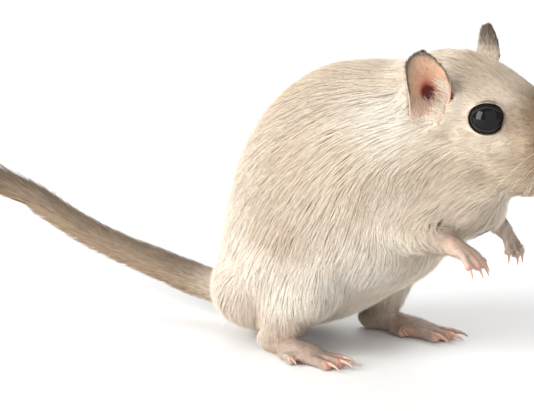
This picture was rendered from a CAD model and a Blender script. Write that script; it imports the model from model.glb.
"""The looks of the gerbil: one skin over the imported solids, its coat, eyes, ears, whiskers and the stage.

Lengths are in millimetres in the body's own frame (X forward, Y to its left, Z up). They become metres in the
row's frame where a mesh is made.
"""

import math

import bmesh
import bpy
import numpy as np
from mathutils import Euler, Matrix, Vector
from mathutils.bvhtree import BVHTree


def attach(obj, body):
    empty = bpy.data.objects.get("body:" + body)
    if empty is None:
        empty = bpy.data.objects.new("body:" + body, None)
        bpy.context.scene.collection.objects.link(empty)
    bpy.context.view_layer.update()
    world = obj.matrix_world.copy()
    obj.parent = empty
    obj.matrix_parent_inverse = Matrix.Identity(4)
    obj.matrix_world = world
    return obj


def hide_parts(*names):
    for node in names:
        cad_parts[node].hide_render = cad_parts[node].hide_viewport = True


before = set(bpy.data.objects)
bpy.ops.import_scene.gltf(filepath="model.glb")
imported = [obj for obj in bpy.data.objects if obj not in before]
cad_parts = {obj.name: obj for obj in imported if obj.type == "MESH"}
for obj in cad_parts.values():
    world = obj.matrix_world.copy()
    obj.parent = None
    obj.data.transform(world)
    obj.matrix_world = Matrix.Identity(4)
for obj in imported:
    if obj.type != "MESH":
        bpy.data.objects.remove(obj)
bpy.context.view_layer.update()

# The body's frame in the row's frame, in millimetres.
OFFSET = np.array((42.67927, -0.73081, -0.6))
HEAD_AT = Vector((35.0, 2.4, 58.1))
HEAD = Matrix.Translation(HEAD_AT) @ Euler((math.radians(4.0), 0, math.radians(8.0))).to_matrix().to_4x4()
SIDES = {"right": -1, "left": 1}

FLESH = ["torso", "neck", "head", "tail_base", "tail_middle"] + [
    kind + "_" + side
    for kind in ("foreleg", "forepaw", "thigh", "shank", "hind_foot")
    for side in SIDES
]
# How far the flesh grows to close the gaps between its nodes, and the size of the cells that it melts in.
GROW, VOXEL = 0.28, 0.31
SKIN_TRIANGLES = 160000
CLAW_FAR = 4.0
# The skin is sunk by the coat's depth, in full where it is this far from the claws.
CLAW_FREE = (0.5, 1.5)

# The left eye in the head's frame: its centre, its radius, and how far it looks aside and up, in degrees.
EYE_AT, EYE_R, EYE_TURN, EYE_RISE = (0.1, 8.0, 0.0), 3.75, 66.0, 8.0
# The lids' edge round the eye: half length, half height, how far its front and rear corners run on, and
# half its width and thickness.
LIDS_LONG, LIDS_HIGH, LIDS_CORNERS, LIDS_EDGE = 3.04, 2.42, (0.95, 0.3), (0.22, 0.16)
# Shares of the lids' edge: the skin is out of sight within the first, lies on the eyeball up to the second
# and runs smoothly into the face up to the third.
LIDS_OPEN, LIDS_ON_EYE, LIDS_FACE = 0.98, 1.12, 2.1
# How deep the skin within the lids' edge lies in the eyeball, and how far outside it the rest is kept.
EYE_SUNK, EYE_CLEAR, EYE_NEAR, EYE_ROUNDS = 0.6, 0.12, 9, 70

# The trunk's centre line: x, y, z.
SPINE = np.array((
    (-27.5, 0, 12.5),
    (-23.5, 0, 17.5),
    (-15.5, 0, 25.5),
    (-6.5, 0, 34.5),
    (3.5, 0, 41.8),
    (12, 0.5, 46.9),
    (20.5, 1.2, 50.8),
    (28, 2, 53),
))
# How far from the centre line the guides of the trunk lie, above, beside and below.
SPINE_OUT = (
    (10, 11, 9),
    (14, 16, 14),
    (20, 20, 18),
    (25, 21, 22),
    (26, 20, 22),
    (22, 17, 20),
    (17, 14, 16),
    (14, 12, 13),
)
# The lie round the trunk: angle from the back, and how far the hair turns from backward towards the belly.
TRUNK_TURN = ((0, 0), (30, 5), (60, 13), (90, 22), (120, 30), (150, 18), (180, 0))

# The core of the tail inside its tuft: x, y, z, half width, half height.
TUFT_CORE = (
    (-94, -1.5, 21.6, 1.9, 2.9),
    (-99, -1.8, 23.3, 1.8, 2.7),
    (-108, -2.6, 25.2, 1.5, 2.1),
    (-118, -3.8, 26.2, 1.1, 1.5),
    (-127, -5.3, 26.2, 0.6, 0.7),
)
# The loose skin and deep fur of the chest and the armpits: x, y, z, half width, half height.
CHEST_FILL = (
    (15, 0.5, 34.5, 9, 7),
    (20, 0.5, 34.6, 9.6, 9),
    (27, 0.7, 38.6, 8.4, 9),
    (31, 0.8, 44.5, 6.6, 8.6),
)
ARM_FILLS = (
    ((14, -9.5, 40.5, 4, 4), (20.5, -9.4, 38.2, 3.8, 3.8), (25.5, -7.6, 36.6, 3.2, 3.2)),
    ((13, -11, 30.5, 4.2, 4.2), (19, -9.2, 29.6, 3.8, 3.8), (23.5, -6.5, 30, 3.2, 3.2)),
    ((15, 9.5, 41.5, 4, 4), (22, 8.4, 39.8, 3.8, 3.8), (27, 6, 38, 3.2, 3.2)),
    ((14, 11, 32, 4.2, 4.2), (20.5, 8.6, 31.5, 3.8, 3.8), (25, 5.5, 32, 3.2, 3.2)),
)
# Places where the skin is smoothed across a fold: x, y, z, reach, rounds.
FOLDS = (
    (-33, 0, 10, 11, 45),
    (22.5, -10, 37, 6.5, 30),
    (24, 10, 39, 6.5, 30),
    (36, -7, 42.5, 5, 24),
    (28, -10.5, 34.8, 3.5, 24),
)
TAIL_LINE = np.array((
    (-34, 0, 9),
    (-41, 0, 8.7),
    (-49, 0, 9.7),
    (-60, -0.1, 11.8),
    (-72, -0.4, 14.1),
    (-84, -0.9, 17.5),
    (-96, -1.6, 22.3),
    (-108, -2.6, 25.2),
    (-118, -3.8, 26.2),
    (-128, -5.4, 26.2),
    (-140, -7.4, 25.6),
))

# Guides of the head, in its own frame, for its left side and mirrored to the right:
# x, y, z, the way the hair lies, its length, the coat's depth, a hair's width.
HEAD_GUIDES = (
    (19, 0, -2.6, -1, 0, 0.4, 0.7, 0.1, 0.1),
    (15, 0, 0.2, -1, 0, 0.35, 1.3, 0.3, 0.12),
    (17, 3.6, -5, -1, 0.5, 0.15, 0.8, 0.15, 0.1),
    (16.5, 4, -8, -1, 0.5, -0.15, 1.3, 0.2, 0.11),
    (13.5, 6, -8.5, -1, 0.5, -0.25, 2, 0.35, 0.13),
    (12, 5, -2, -1, 0.45, 0.25, 1.8, 0.35, 0.13),
    (15, 2, -13.6, -0.9, 0.2, -0.5, 1.5, 0.3, 0.12),
    (11, 3.5, -16, -0.9, 0.2, -0.6, 2.6, 0.6, 0.14),
    (8, 0, 3.8, -1, 0, 0.35, 2.4, 0.5, 0.14),
    (7, 5.5, 2.2, -1, 0.25, 0.45, 1.9, 0.35, 0.13),
    (2, 0, 8.4, -1, 0, 0.15, 3.4, 0.7, 0.15),
    (1, 6.5, 6, -1, 0.2, 0.35, 1.9, 0.3, 0.13),
    (5.4, 8.2, 1.6, -0.6, 0.35, 0.8, 1.1, 0.12, 0.11),
    (5.8, 8.4, -1, -0.9, 0.6, -0.3, 1.1, 0.12, 0.11),
    (4, 9.4, -4, -1, 0.4, -0.45, 1.8, 0.3, 0.13),
    (0, 10.5, -5.2, -1, 0.15, -0.25, 1.6, 0.25, 0.13),
    (-4.6, 10.8, -3.2, -1, 0.1, -0.2, 2, 0.3, 0.13),
    (-5.4, 11, 1.5, -1, 0.1, 0.1, 2.2, 0.35, 0.13),
    (-3.4, 9, 5.2, -1, 0.1, 0.35, 2, 0.35, 0.13),
    (-8, 6.5, 9.6, -1, 0.1, 0.05, 3.6, 0.9, 0.16),
    (-8, 0, 11.3, -1, 0, -0.05, 4.2, 0.95, 0.17),
    (-7.5, 11.8, -3, -1, 0.1, -0.12, 3.6, 0.8, 0.16),
    (-3, 12, -9, -1, 0.15, -0.25, 4.4, 1, 0.17),
    (4, 9.6, -10, -1, 0.3, -0.3, 3.2, 0.8, 0.15),
    (3, 6.5, -16, -0.85, 0.2, -0.6, 4.2, 1, 0.16),
    (-6, 7, -16.5, -0.75, 0.15, -0.7, 5.6, 1.3, 0.19),
    (6, 0, -18.5, -0.9, 0, -0.5, 4, 0.9, 0.16),
    (-15, 0, 10.5, -1, 0, -0.25, 5.6, 1.3, 0.19),
    (-17, 8.5, 6.5, -1, 0.1, -0.3, 5.4, 1.2, 0.18),
    (-17.5, 12, -1, -1, 0.05, -0.35, 5.4, 1.3, 0.18),
    (-14, 12.5, -8, -0.95, 0.05, -0.5, 6, 1.5, 0.19),
)
# Guides of the legs and feet, in the body's frame, for each side as it stands.
RIGHT_GUIDES = (
    (-24, -20, 26, -0.7, 0, -0.8, 7.5, 1.8, 0.2),
    (-15, -22, 28, -0.5, 0, -1, 7.5, 1.8, 0.2),
    (-6, -21, 27, -0.35, 0, -1, 7.5, 1.8, 0.2),
    (-20, -20, 15, -0.4, 0.1, -1, 7, 1.7, 0.19),
    (-10, -21.5, 18, -0.25, 0, -1, 7, 1.7, 0.19),
    (-2, -19, 17, -0.1, 0.1, -1, 6.5, 1.5, 0.19),
    (-3, -17, 10.5, 0, 0.1, -1, 5.5, 1.3, 0.17),
    (-9, -18, 10, -0.1, 0.1, -1, 5.5, 1.3, 0.16),
    (-16, -16, 9, 0.1, 0.1, -1, 5.5, 1.3, 0.16),
    (-11, -17, 6.5, 0.1, 0.1, -1, 3.6, 0.9, 0.15),
    (-17, -14, 5.5, 0.3, 0, -1, 3.2, 0.8, 0.14),
    (-12, -16, 3.5, 0.7, -0.1, -0.6, 1.2, 0.15, 0.12),
    (-8, -16, 5, 1, -0.15, -0.3, 1.3, 0.04, 0.11),
    (-2, -15.5, 4, 1, -0.15, -0.15, 1.2, 0, 0.11),
    (4, -16.5, 3, 1, -0.15, -0.2, 1, 0, 0.1),
    (-10, -14, 0, 1, 0, 0, 0.6, 0, 0.1),
    (0, -16, 0, 1, 0, 0, 0.6, 0, 0.1),
    (-30, -7.5, 15, -1, 0.1, -0.45, 6.5, 1.6, 0.16),
    (-32.5, -5, 14, -1, 0.1, -0.3, 6.5, 1.5, 0.16),
    (-33, -6, 9, -1, 0.2, 0, 6, 1.5, 0.16),
    (-30, -7, 6, -1, 0.2, 0.1, 5.5, 1.4, 0.16),
    (12, -15.5, 43, -0.15, -0.1, -1, 8, 1.9, 0.19),
    (19, -13, 45, -0.2, -0.1, -1, 8.5, 2, 0.19),
    (26, -9, 46, -0.3, -0.1, -1, 8.5, 2, 0.19),
    (16, -17, 35, 0.15, -0.1, -1, 7, 1.7, 0.18),
    (21, -14, 35, 0.15, 0, -1, 6.5, 1.6, 0.17),
    (21.5, -15, 31, 0.5, 0.1, -0.9, 5.5, 1.4, 0.16),
    (26, -12.5, 30.5, 0.9, 0.2, -0.5, 3, 0.6, 0.14),
    (30, -10, 30.5, 1, 0.2, -0.15, 1.1, 0.04, 0.11),
    (36, -9, 28, 0.9, 0.1, -0.5, 0.9, 0, 0.1),
)
LEFT_GUIDES = (
    (-22, 20, 26, -0.7, 0, -0.8, 7.5, 1.8, 0.2),
    (-13, 22, 28, -0.5, 0, -1, 7.5, 1.8, 0.2),
    (-4, 21, 27, -0.35, 0, -1, 7.5, 1.8, 0.2),
    (-18, 20, 15, -0.4, -0.1, -1, 7, 1.7, 0.19),
    (-8, 21.5, 18, -0.25, 0, -1, 7, 1.7, 0.19),
    (1, 19, 17, -0.1, -0.1, -1, 6.5, 1.5, 0.19),
    (2.5, 16, 11.5, 0, 0, -1, 4.5, 1.1, 0.17),
    (-4, 20, 11, -0.1, 0, -1, 4.5, 1.1, 0.16),
    (-9, 17, 9, 0, 0, -1, 4, 1, 0.16),
    (-5, 19, 6, -0.1, 0, -1, 2.4, 0.6, 0.14),
    (-11, 16, 5, 0.1, 0, -1, 2.2, 0.5, 0.13),
    (-6, 17, 3.5, 0.8, 0.05, -0.5, 1.2, 0.15, 0.12),
    (-2, 17, 5, 1, 0.05, -0.3, 1.3, 0.04, 0.11),
    (3, 17.5, 4, 1, 0.05, -0.15, 1.2, 0, 0.11),
    (9, 17.5, 3, 1, 0.05, -0.2, 1, 0, 0.1),
    (-5, 16.5, 0, 1, 0, 0, 0.6, 0, 0.1),
    (6, 17, 0, 1, 0, 0, 0.6, 0, 0.1),
    (-30, 7.5, 15, -1, -0.1, -0.45, 6.5, 1.6, 0.16),
    (-32.5, 5, 14, -1, -0.1, -0.3, 6.5, 1.5, 0.16),
    (-33, 6, 9, -1, -0.2, 0, 6, 1.5, 0.16),
    (-30, 7, 6, -1, -0.2, 0.1, 5.5, 1.4, 0.16),
    (13, 15.5, 44, -0.15, 0.1, -1, 8, 1.9, 0.19),
    (20, 13, 46, -0.2, 0.1, -1, 8.5, 2, 0.19),
    (27, 9, 47, -0.3, 0.1, -1, 8.5, 2, 0.19),
    (17.5, 17, 37, 0.15, 0.1, -1, 7, 1.7, 0.18),
    (23.5, 14, 34.5, 0.5, -0.2, -0.8, 5, 1.2, 0.16),
    (27.5, 10, 34, 0.9, -0.5, -0.3, 2.6, 0.5, 0.13),
    (31, 6, 33.5, 0.8, -0.6, -0.15, 1.1, 0.04, 0.11),
    (36, 2, 31, 0.8, -0.5, -0.4, 0.9, 0, 0.1),
)

# Colours are shares of red, green and blue light.
CREAM, TAN, PALE = (0.80, 0.69, 0.55), (0.72, 0.585, 0.43), (0.86, 0.78, 0.66)
TAIL_BELOW, TAIL_ABOVE, TAIL_TIP = (0.41, 0.30, 0.20), (0.25, 0.188, 0.132), (0.13, 0.095, 0.07)
FOOT_PINK, PAW_PINK, CLAW_PINK = (0.44, 0.31, 0.25), (0.60, 0.42, 0.33), (0.56, 0.29, 0.22)
EYE_RIM, EAR_FOOT, NOSTRIL = (0.16, 0.115, 0.095), (0.5, 0.22, 0.17), (0.07, 0.03, 0.025)
# The bare nose and each nostril in the head's frame: middle and half size.
NOSE_AT, NOSE_SIZE = (20.6, 0, -5.2), (2.2, 2.4, 1.9)
NOSTRIL_AT, NOSTRIL_SIZE = (21.2, 1.15, -5.3), (1.1, 0.75, 0.7)
# Along -x: where the tail's colour begins and is full, and where the dark of its tip does.
TAIL_ROOT, TAIL_DARKENS = (34.5, 49), (92, 122)
# The coat's markings by place: x, y, z (mirrored in y), red, green, blue.
HEAD_MARKS = (
    (19.5, 0, -3.5, 0.33, 0.22, 0.145),
    (16, 3.5, -5, 0.19, 0.12, 0.07),
    (13, 6, -9, 0.31, 0.205, 0.12),
    (12, 0, 2, 0.28, 0.195, 0.12),
    (10, 5, 0, 0.3, 0.21, 0.13),
    (12, 6, -5, 0.24, 0.155, 0.088),
    (8, 8, -5, 0.57, 0.44, 0.31),
    (4, 0, 7, 0.8, 0.67, 0.54),
    (-3, 0, 10, *TAN),
    (-10, 0, 11.3, 0.79, 0.675, 0.54),
    (4, 7, 5, 0.8, 0.67, 0.54),
    (5.8, 8.3, -1, 0.42, 0.32, 0.24),
    (4, 9.5, -5, 0.76, 0.65, 0.52),
    (-1, 10.5, -6, 0.71, 0.6, 0.465),
    (-6, 11.5, 1, 0.76, 0.65, 0.52),
    (-3, 12, -10, 0.8, 0.66, 0.51),
    (5, 8.5, -13, 0.76, 0.62, 0.46),
    (13, 2, -14.5, 0.58, 0.43, 0.3),
    (0, 0, -18, *PALE),
    (-18, 11, 0, 0.86, 0.79, 0.68),
    (-17, 0, 9, 0.8, 0.69, 0.56),
)
BODY_MARKS = (
    (-8, 0, 62, 0.62, 0.5, 0.38),
    (12, 0, 68, 0.64, 0.52, 0.4),
    (-24, 0, 45, 0.75, 0.65, 0.535),
    (-34, 0, 25, 0.7, 0.64, 0.56),
    (0, 18, 50, 0.66, 0.545, 0.42),
    (-5, 21, 35, 0.64, 0.53, 0.42),
    (12, 17, 48, 0.69, 0.58, 0.45),
    (-18, 21, 25, 0.9, 0.8, 0.67),
    (-5, 20, 18, 0.9, 0.81, 0.7),
    (5, 15, 22, 0.91, 0.83, 0.72),
    (5, 0, 14, *PALE),
    (22, 0, 33, 0.88, 0.8, 0.68),
    (14, 10, 28, 0.92, 0.84, 0.73),
    (0, 14, 16, 0.88, 0.8, 0.68),
    (-15, 15, 8, 0.8, 0.68, 0.55),
    (28, 8, 38, 0.8, 0.68, 0.54),
    (-34, 0, 9, 0.66, 0.54, 0.43),
    (-11, 15, 4.5, 0.62, 0.49, 0.38),
    (-8.5, 12, 9, 0.56, 0.43, 0.33),
    (-4, 16, 4.5, 0.64, 0.52, 0.42),
    (4, 16.5, 3, 0.62, 0.5, 0.4),
    (20, 15, 33, 0.84, 0.75, 0.62),
    (25, 12, 31, 0.74, 0.61, 0.48),
    (30, 9, 31, 0.62, 0.48, 0.38),
    (36, 8, 28, 0.74, 0.57, 0.47),
)

SEED = 11
# How wide the clumps and the waves of the lie are, and the broader patches of its shade.
CLUMP, WAVE, SHADE_PATCH = 1.3, 5.0, 4.0
# How deep each hair is rooted in the skin.
ROOT_DEEP = 0.25
# No hair of the tail reaches further back than this.
TAIL_END = 141.0
# Hairs rooted within this distance lie together as one wisp.
WISP = 0.45
# No hair's middle lies lower than this, just above the floor.
HAIR_LOW = 0.65
PIECE_TRIANGLES = 190000
# How far across a hair's patch of the bake map is.
BAKE_PATCH = 0.003


# Small tools.


def both_sides(y):
    """The left side, and the right too for what lies off the middle."""
    return (1, -1) if y else (1,)


def rows_m(points):
    """Points of the body's frame, in millimetres, as metres in the row's frame."""
    return (np.asarray(points, float) + OFFSET) * 0.001


def in_head(points):
    """Points of the body's frame in the head's frame."""
    inverse = np.array(HEAD.inverted())
    return np.asarray(points, float) @ inverse[:3, :3].T + inverse[:3, 3]


def from_head(points):
    to_body = np.array(HEAD)
    return np.asarray(points, float) @ to_body[:3, :3].T + to_body[:3, 3]


def turned_from_head(directions):
    return np.asarray(directions, float) @ np.array(HEAD)[:3, :3].T


def unit(vectors):
    return vectors / np.maximum(np.linalg.norm(vectors, axis=-1, keepdims=True), 1e-9)


def smooth_step(value, low, high):
    t = np.clip((value - low) / (high - low), 0, 1)
    return t * t * (3 - 2 * t)


def blend(first, second, share):
    """The first colour where share is 0, the second where it is 1."""
    return first * (1 - share) + np.array(second) * share


def linked(name, data):
    """A new object of the scene."""
    obj = bpy.data.objects.new(name, data)
    bpy.context.scene.collection.objects.link(obj)
    return obj


def curve_through(rows, count):
    """Rows resampled along a smooth curve through them, count in all."""
    table = np.array(rows, float)
    padded = np.vstack([2 * table[0] - table[1], table, 2 * table[-1] - table[-2]])
    made = []
    for t in np.linspace(0, len(table) - 1, count):
        i = min(int(t), len(table) - 2)
        f = t - i
        a, b, c, d = padded[i : i + 4]
        square, cube = 2 * a - 5 * b + 4 * c - d, 3 * b - a - 3 * c + d
        made.append(0.5 * (2 * b + (c - a) * f + square * f**2 + cube * f**3))
    return np.array(made)


def lattice(cells):
    """A number from 0 to 1 for each row of whole numbers."""
    cells = cells.astype(np.int64)
    mixed = cells[:, 0] * 73856093 ^ cells[:, 1] * 19349663 ^ cells[:, 2] * 83492791
    mixed = (mixed ^ (mixed >> 13)) * 1274126177 & 0x7FFFFFFF
    return ((mixed ^ (mixed >> 16)) % 100003) / 100003.0


def value_noise(points, size, shift=0.0):
    """Smooth noise from 0 to 1 whose features are about size across."""
    p = points / size + shift
    low = np.floor(p)
    f = p - low
    f = f * f * (3 - 2 * f)
    total = np.zeros(len(points))
    for corner in np.ndindex(2, 2, 2):
        weight = np.prod(np.where(corner, f, 1 - f), axis=1)
        total += weight * lattice(low + np.array(corner) + 1000)
    return total


# The skin.


def mesh_arrays(mesh):
    points = np.empty(len(mesh.vertices) * 3, np.float32)
    mesh.vertices.foreach_get("co", points)
    mesh.calc_loop_triangles()
    faces = np.empty(len(mesh.loop_triangles) * 3, np.int32)
    mesh.loop_triangles.foreach_get("vertices", faces)
    return points.reshape(-1, 3).astype(float), faces.reshape(-1, 3)


def tube(bm, rows, rings, sides):
    """Adds to bm a closed tube through rows of x, y, z, half width, half height."""
    table = curve_through(rows, rings)
    made = []
    for i, row in enumerate(table):
        along = unit(table[min(i + 1, rings - 1), :3] - table[max(i - 1, 0), :3])
        side = unit(np.cross((0, 0, 1), along))
        up = np.cross(along, side)
        ring = []
        for a in np.linspace(0, 2 * math.pi, sides, endpoint=False):
            spot = row[:3] + side * row[3] * math.cos(a) + up * row[4] * math.sin(a)
            ring.append(bm.verts.new(rows_m(spot)))
        made.append(ring)
    for first, second in zip(made, made[1:]):
        for i in range(sides):
            j = (i + 1) % sides
            bm.faces.new((first[i], first[j], second[j], second[i]))
    bm.faces.new(made[0][::-1])
    bm.faces.new(made[-1])


def apply_all(obj):
    graph = bpy.context.evaluated_depsgraph_get()
    mesh = bpy.data.meshes.new_from_object(obj.evaluated_get(graph), depsgraph=graph)
    obj.modifiers.clear()
    old = obj.data
    obj.data = mesh
    bpy.data.meshes.remove(old)


def melted_flesh():
    """All nodes of flesh, grown across the gaps between them and made one surface."""
    bm = bmesh.new()
    for name in FLESH:
        bm.from_mesh(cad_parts[name].data)
    bmesh.ops.remove_doubles(bm, verts=bm.verts, dist=1e-6)
    tube(bm, TUFT_CORE, 16, 12)
    tube(bm, CHEST_FILL, 24, 32)
    for rows in ARM_FILLS:
        tube(bm, rows, 12, 16)
    bmesh.ops.recalc_face_normals(bm, faces=bm.faces)
    bm.normal_update()
    for vert in bm.verts:
        vert.co += vert.normal * GROW * 0.001
    mesh = bpy.data.meshes.new("skin")
    bm.to_mesh(mesh)
    bm.free()
    for polygon in mesh.polygons:
        polygon.use_smooth = True
    obj = linked("skin", mesh)
    remesh = obj.modifiers.new("melt", "REMESH")
    remesh.mode, remesh.voxel_size, remesh.use_smooth_shade = "VOXEL", VOXEL * 0.001, True
    apply_all(obj)
    thin = obj.modifiers.new("thin", "DECIMATE")
    faces = 2 * len(obj.data.polygons)
    thin.ratio = min(1.0, SKIN_TRIANGLES / faces)
    apply_all(obj)
    return obj


def largest_part(points, faces):
    """The faces of the largest connected part."""
    label = np.arange(len(points))
    while True:
        lowest = label[faces].min(axis=1)
        fresh = label.copy()
        for corner in range(3):
            np.minimum.at(fresh, faces[:, corner], lowest)
        fresh = fresh[fresh]
        if (fresh == label).all():
            break
        label = fresh
    names, counts = np.unique(label[faces[:, 0]], return_counts=True)
    return faces[label[faces[:, 0]] == names[counts.argmax()]]


class Surface:
    """A triangle mesh with its neighbours, normals and a search tree."""

    def __init__(self, points, faces):
        used, index = np.unique(faces, return_inverse=True)
        self.points, self.faces = points[used], index.reshape(-1, 3)
        ends = np.vstack([self.faces[:, (0, 1)], self.faces[:, (1, 2)], self.faces[:, (2, 0)]])
        self.edges = np.unique(np.sort(ends, axis=1), axis=0)
        count = np.bincount(self.edges.ravel(), minlength=len(self.points))
        self.valence = np.maximum(count, 1)[:, None]
        self.update()

    def update(self):
        corners = self.points[self.faces]
        cross = np.cross(corners[:, 1] - corners[:, 0], corners[:, 2] - corners[:, 0])
        self.areas = np.linalg.norm(cross, axis=1) / 2
        self.face_normals = unit(cross)
        normals = np.zeros_like(self.points)
        for corner in range(3):
            np.add.at(normals, self.faces[:, corner], cross)
        self.normals = unit(normals)

    def spread(self, values, rounds):
        """Values at the points, each drawn rounds times halfway to its neighbours' mean."""
        a, b = self.edges[:, 0], self.edges[:, 1]
        values = values.reshape(len(self.points), -1).astype(float)
        for _ in range(rounds):
            total = np.empty_like(values)
            for column in range(values.shape[1]):
                v = values[:, column]
                total[:, column] = np.bincount(a, v[b], len(v)) + np.bincount(b, v[a], len(v))
            values = values + (total / self.valence - values) * 0.5
        return values

    def tree(self):
        return BVHTree.FromPolygons(self.points.tolist(), self.faces.tolist())


def guide_table():
    """All guides in the body's frame: place, lie, length, depth, width."""
    rows = []
    for x, y, z, dx, dy, dz, long, deep, wide in HEAD_GUIDES:
        for side in both_sides(y):
            place = from_head((x, y * side, z))
            rows.append((*place, *turned_from_head((dx, dy * side, dz)), long, deep, wide))
    table = np.array([*rows, *RIGHT_GUIDES, *LEFT_GUIDES, *trunk_guides(), *tail_guides()], float)
    table[:, 3:6] = unit(table[:, 3:6])
    return table


def trunk_guides():
    rows = []
    for i, spot in enumerate(SPINE):
        along = unit(SPINE[min(i + 1, len(SPINE) - 1)] - SPINE[max(i - 1, 0)])
        above = unit(np.cross(along, (0.0, 1.0, 0.0)))
        above = above if above[2] > 0 else -above
        high, beside, low = SPINE_OUT[i]
        for angle, turn in TRUNK_TURN:
            a, t = math.radians(angle), math.radians(turn)
            for side in (1, -1):
                reach = high if angle < 90 else low
                out = above * math.cos(a) * reach + np.array((0, side, 0)) * math.sin(a) * beside
                down = -above * math.sin(a) + np.array((0, side, 0)) * math.cos(a)
                lie = -along * math.cos(t) + down * math.sin(t)
                long = 8.5 if angle < 60 else 9.0
                rows.append((*(spot + out), *lie, long, 2.0, 0.2))
    return rows


def tail_guides():
    rows = []
    for i, spot in enumerate(TAIL_LINE[:-1]):
        lie = unit(TAIL_LINE[i + 1] - spot)
        t = (-spot[0] - 34) / 94
        for angle in range(0, 360, 60):
            a = math.radians(angle)
            top = max(math.cos(a), 0)
            out = np.array((0, math.sin(a) * 3.2, math.cos(a) * 3.6))
            long = 2.6 + 2.6 * t + 2.2 * top * t
            rows.append((*(spot + out), *(lie + np.array((0, 0, 0.12 * top))), long, 0.8 + 0.5 * t, 0.16))
    return rows


def by_guides(places, table, sharp=4):
    """The guides' values at places, each guide weighing by its nearness."""
    made = np.zeros((len(places), table.shape[1] - 3))
    for start in range(0, len(places), 20000):
        part = places[start : start + 20000]
        gap = ((part[:, None, :] - table[None, :, :3]) ** 2).sum(-1) + 0.3
        weight = gap ** (-sharp / 2)
        made[start : start + 20000] = (weight / weight.sum(1, keepdims=True)) @ table[:, 3:]
    return made


def coat_fields(surface, table):
    """At each point of the surface: the lie, the hair's length, the coat's depth and a hair's width."""
    values = by_guides(surface.points, table)
    lie = values[:, :3]
    lie = surface.spread(lie, 12)
    lie -= surface.normals * (lie * surface.normals).sum(1, keepdims=True)
    rest = surface.spread(values[:, 3:], 6)
    return unit(lie), rest[:, 0], rest[:, 1], rest[:, 2]


def eye_axes(side):
    """The eye's centre, the way it looks, its way forward and its way up, in the body's frame."""
    x, y, z = EYE_AT
    turn, rise = math.radians(EYE_TURN), math.radians(EYE_RISE)
    look = (math.cos(turn) * math.cos(rise), side * math.sin(turn) * math.cos(rise), math.sin(rise))
    look = turned_from_head(look)
    forward = unit(np.cross(turned_from_head((0, 0, 1)), look)) * -side
    return from_head((x, y * side, z)), look, forward, np.cross(look, forward) * -side


def lids_reach(angle):
    """How far the lids' edge lies from the eye's axis, at angles from forward towards up."""
    reach = LIDS_LONG * LIDS_HIGH / np.hypot(LIDS_HIGH * np.cos(angle), LIDS_LONG * np.sin(angle))
    front, rear = LIDS_CORNERS
    return reach + front * np.maximum(np.cos(angle), 0) ** 12 + rear * np.maximum(-np.cos(angle), 0) ** 12


def in_lids(points):
    """How far points lie from the nearer eye's axis, as a share of the lids' edge. It is 9 elsewhere."""
    share = np.full(len(points), 9.0)
    for side in (1, -1):
        middle, look, forward, up = eye_axes(side)
        gap = points - middle
        angle = np.arctan2(gap @ up, gap @ forward)
        reach = np.linalg.norm(gap - (gap @ look)[:, None] * look, axis=1) / lids_reach(angle)
        near = (np.linalg.norm(gap, axis=1) < EYE_NEAR) & (gap @ look > -1.5)
        share = np.where(near, np.minimum(share, reach), share)
    return share


def build_skin():
    """The skin as an object, and as a Surface in the body's frame with its fields."""
    obj = melted_flesh()
    points, faces = mesh_arrays(obj.data)
    surface = Surface(points * 1000 - OFFSET, largest_part(points, faces))
    table = guide_table()
    depth = surface.spread(by_guides(surface.points, table)[:, 4], 8)
    depth = depth.ravel()[:, None]
    soft = smooth_step(depth, 0.4, 1.2)
    smoothed = surface.spread(surface.points, 14)
    lightly = surface.spread(surface.points, 1)
    surface.points = lightly + (smoothed - lightly) * soft
    surface.update()
    normals = unit(surface.spread(surface.normals, 3))
    surface.claws = claw_distance(surface.points)
    # Toes and fingers close round the roots of their claws.
    pull = (depth + GROW) * smooth_step(surface.claws, *CLAW_FREE)[:, None]
    surface.points = surface.points - normals * pull
    for x, y, z, reach, rounds in FOLDS:
        away = np.linalg.norm(surface.points - (x, y, z), axis=1)
        ease(surface, 1 - smooth_step(away, 0.5 * reach, reach), rounds)
    join_ears(surface)
    settle_at_eyes(surface)
    surface.tucked = tucked_under_ears(surface)
    # The soles lie flat on the floor.
    surface.points[:, 2] = np.maximum(surface.points[:, 2], -OFFSET[2])
    surface.update()
    fill_mesh(obj.data, surface)
    return obj, surface, coat_fields(surface, table)


def ease(surface, share, rounds):
    """Smooths the skin where share is over 0."""
    for _ in range(rounds):
        smoother = surface.spread(surface.points, 1)
        surface.points = surface.points + (smoother - surface.points) * share[:, None]


def join_ears(surface):
    """Raises the skin ahead of each ear to the ear's front rim, so that no gap is left between them."""
    surface.update()
    for side in (1, -1):
        rim = ear_grid(side)[0][3:26, -1]
        away = np.full(len(surface.points), 99.0)
        near = np.nonzero(np.linalg.norm(surface.points - rim.mean(axis=0), axis=1) < 10)[0]
        away[near] = np.linalg.norm(surface.points[near][:, None] - rim[None], axis=2).min(axis=1)
        lift = EAR_JOIN[0] * (1 - smooth_step(away, 0.3, EAR_JOIN[1]))
        surface.points = surface.points + surface.normals * lift[:, None]


def claw_distance(points):
    """How far each point lies from the nearest claw, up to CLAW_FAR."""
    corners, faces, base = [], [], 0
    for name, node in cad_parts.items():
        if "claw" in name:
            claw, claw_faces = mesh_arrays(node.data)
            corners.append(claw * 1000 - OFFSET)
            faces.append(claw_faces + base)
            base += len(claw)
    tree = BVHTree.FromPolygons(np.vstack(corners).tolist(), np.vstack(faces).tolist())
    found = [tree.find_nearest(p, CLAW_FAR)[3] for p in points.tolist()]
    return np.array([CLAW_FAR if away is None else away for away in found])


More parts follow.
